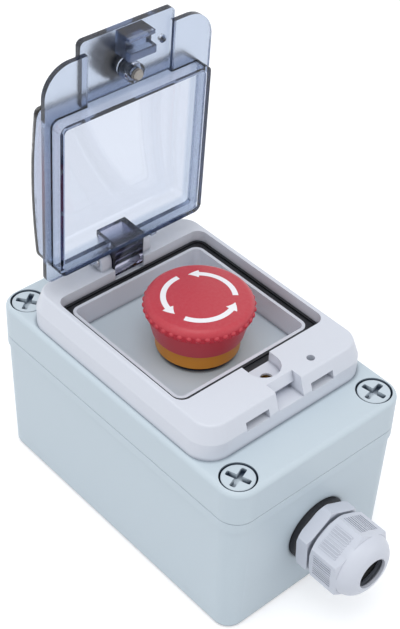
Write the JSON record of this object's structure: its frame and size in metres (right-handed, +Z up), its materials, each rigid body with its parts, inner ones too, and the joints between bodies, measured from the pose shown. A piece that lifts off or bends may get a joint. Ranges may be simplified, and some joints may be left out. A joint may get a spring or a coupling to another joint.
{
  "type": "emergency stop button box",
  "caption": "Waterproof plastic enclosure with a twist-release mushroom push button in a sealed frame under a hinged clear flip cover, and a cable gland in one end.",
  "frame": {"origin": "centre of the enclosure's flat underside", "axes": "+Z up through the push button, +X across the box, +Y along the box from the cable gland towards the cover's hinge"},
  "size_m": [0.08, 0.1566, 0.1811],
  "materials": {
    "box_plastic": "fine moulded texture",
    "frame_plastic": "satin",
    "gland_plastic": "satin",
    "clear_plastic": "polished, smoked",
    "dark_plastic": "satin",
    "red_plastic": "satin",
    "yellow_plastic": "satin",
    "black_plastic": "satin",
    "contact_plastic": "satin",
    "seal_rubber": "matt",
    "brass": "turned",
    "steel": "bright"
  },
  "bodies": {
    "enclosure": {"base_box": "box_plastic", "lid": "box_plastic", "lid_gasket": "seal_rubber", "lid_screws": "box_plastic", "screw_inserts": "brass", "cover_frame": "frame_plastic", "frame_seal": "seal_rubber", "cover_gasket": "seal_rubber", "frame_screws": "steel", "latch_insert": "brass", "hinge_pin": "steel", "panel_seal": "seal_rubber", "base_ring": "yellow_plastic", "operator_barrel": "black_plastic", "mounting_nut": "black_plastic", "head_spring": "steel", "contact_holder": "black_plastic", "contact_block": "contact_plastic", "contact_base": "black_plastic", "fixed_contacts": "brass", "terminal_screws": "steel", "contact_spring": "steel", "gland_body": "gland_plastic", "gland_washer": "seal_rubber", "gland_locknut": "gland_plastic"},
    "cover": {"clear_cover": "clear_plastic", "hinge_clip": "dark_plastic", "latch_retainer": "dark_plastic"},
    "latch_seal": {"latch_washer": "seal_rubber"},
    "latch_screw": {"latch_stud": "steel", "latch_knob": "dark_plastic"},
    "push_stem": {"push_stem": "black_plastic"},
    "button_head": {"mushroom_head": "red_plastic"},
    "contact_bridge": {"contact_plunger": "black_plastic", "moving_contact": "brass"},
    "gland_clamp": {"gland_claw": "gland_plastic", "gland_grommet": "seal_rubber"},
    "gland_nut": {"gland_dome_nut": "gland_plastic"}
  },
  "joints": [
    {"name": "cover_hinge", "type": "hinge", "parent": "enclosure", "child": "cover", "pos_m": [0, 0.0427, 0.0866], "axis": [1, 0, 0], "range_deg": [0, 87.85]},
    {"name": "latch_advance", "type": "slide", "parent": "cover", "child": "latch_seal", "axis": [0, -0.9993, -0.0375], "range_m": [0, 0.0028]},
    {"name": "latch_turn", "type": "hinge", "parent": "latch_seal", "child": "latch_screw", "pos_m": [0, 0.04136, 0.1649], "axis": [0, -0.9993, -0.0375], "range_deg": [0, 1440]},
    {"name": "head_push", "type": "slide", "parent": "enclosure", "child": "push_stem", "axis": [0, 0, -1], "range_m": [0, 0.005], "stiffness_N_per_m": 2500, "springref_m": -0.002, "deforming": ["head_spring"]},
    {"name": "head_twist", "type": "hinge", "parent": "push_stem", "child": "button_head", "pos_m": [0, -0.0007, 0.09], "axis": [0, 0, 1], "range_deg": [0, 40], "stiffness_Nm_per_rad": 0.05, "springref_deg": -11.46},
    {"name": "bridge_slide", "type": "slide", "parent": "enclosure", "child": "contact_bridge", "axis": [0, 0, -1], "range_m": [0, 0.005], "deforming": ["contact_spring"]},
    {"name": "gland_advance", "type": "slide", "parent": "enclosure", "child": "gland_clamp", "axis": [0, -1, 0], "range_m": [0, 0.003]},
    {"name": "gland_turn", "type": "hinge", "parent": "gland_clamp", "child": "gland_nut", "pos_m": [0.0015, -0.08, 0.0278], "axis": [0, -1, 0], "range_deg": [0, 720]}
  ],
  "couplings": [
    {"joint": "latch_advance", "follows": "latch_turn", "m_per_rad": 0.00011141},
    {"joint": "bridge_slide", "follows": "head_push", "ratio": 1},
    {"joint": "gland_advance", "follows": "gland_turn", "m_per_rad": 0.00023873}
  ]
}
